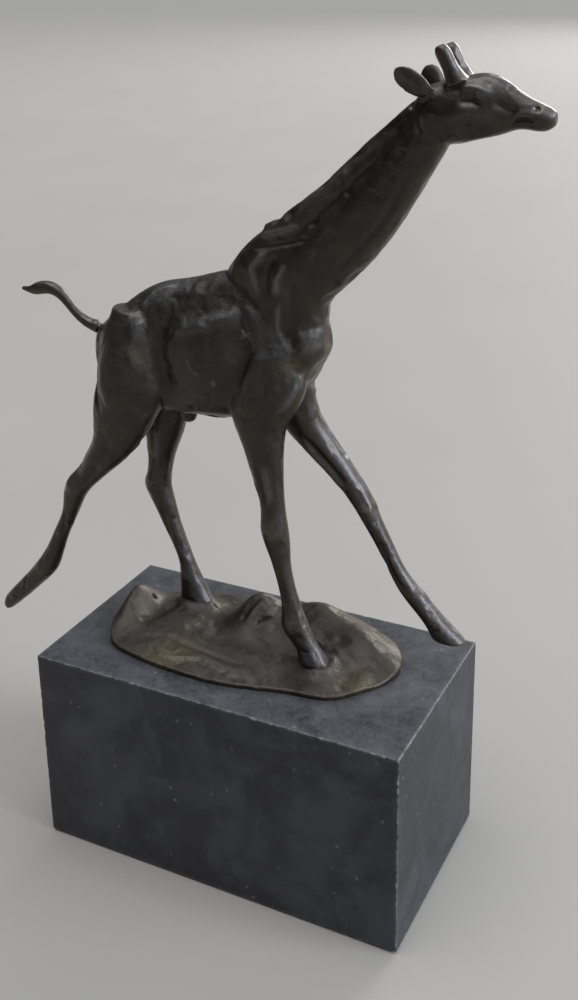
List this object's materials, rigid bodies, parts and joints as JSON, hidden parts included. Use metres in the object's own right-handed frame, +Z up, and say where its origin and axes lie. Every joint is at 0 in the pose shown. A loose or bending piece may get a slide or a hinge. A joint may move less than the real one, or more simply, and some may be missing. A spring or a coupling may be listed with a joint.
{
  "type": "animal figurine on plinth",
  "caption": "Bronze giraffe figurine in full stride on a rocky bronze ground, bolted to a rectangular black marble block with a felt underside.",
  "frame": {"origin": "middle of the felt underside of the marble block, on the surface that the statue stands on", "axes": "+Z up, +X the way the giraffe runs along the block's long side, +Y towards the giraffe's left side"},
  "size_m": [0.2662, 0.098, 0.3737],
  "materials": {
    "bronze": "dark brown-black patina, olive and golden where rubbed, waxed",
    "ground_bronze": "olive-brown patina over cast bronze, light on the rim",
    "marble": "honed black marble with faint grey clouds and worn edges",
    "felt": "dark felt",
    "steel": "zinc-plated"
  },
  "bodies": {
    "root": {"marble_block": "marble", "felt_sheet": "felt", "ground_casting": "ground_bronze", "trunk_casting": "bronze", "neck_casting": "bronze", "head_casting": "bronze", "tail_casting": "bronze", "foreleg_right_casting": "bronze", "foreleg_left_casting": "bronze", "hindleg_right_casting": "bronze", "hindleg_left_casting": "bronze", "stud_rear": "steel", "stud_front": "steel", "washer_rear": "steel", "washer_front": "steel", "nut_rear": "steel", "nut_front": "steel"}
  },
  "joints": []
}
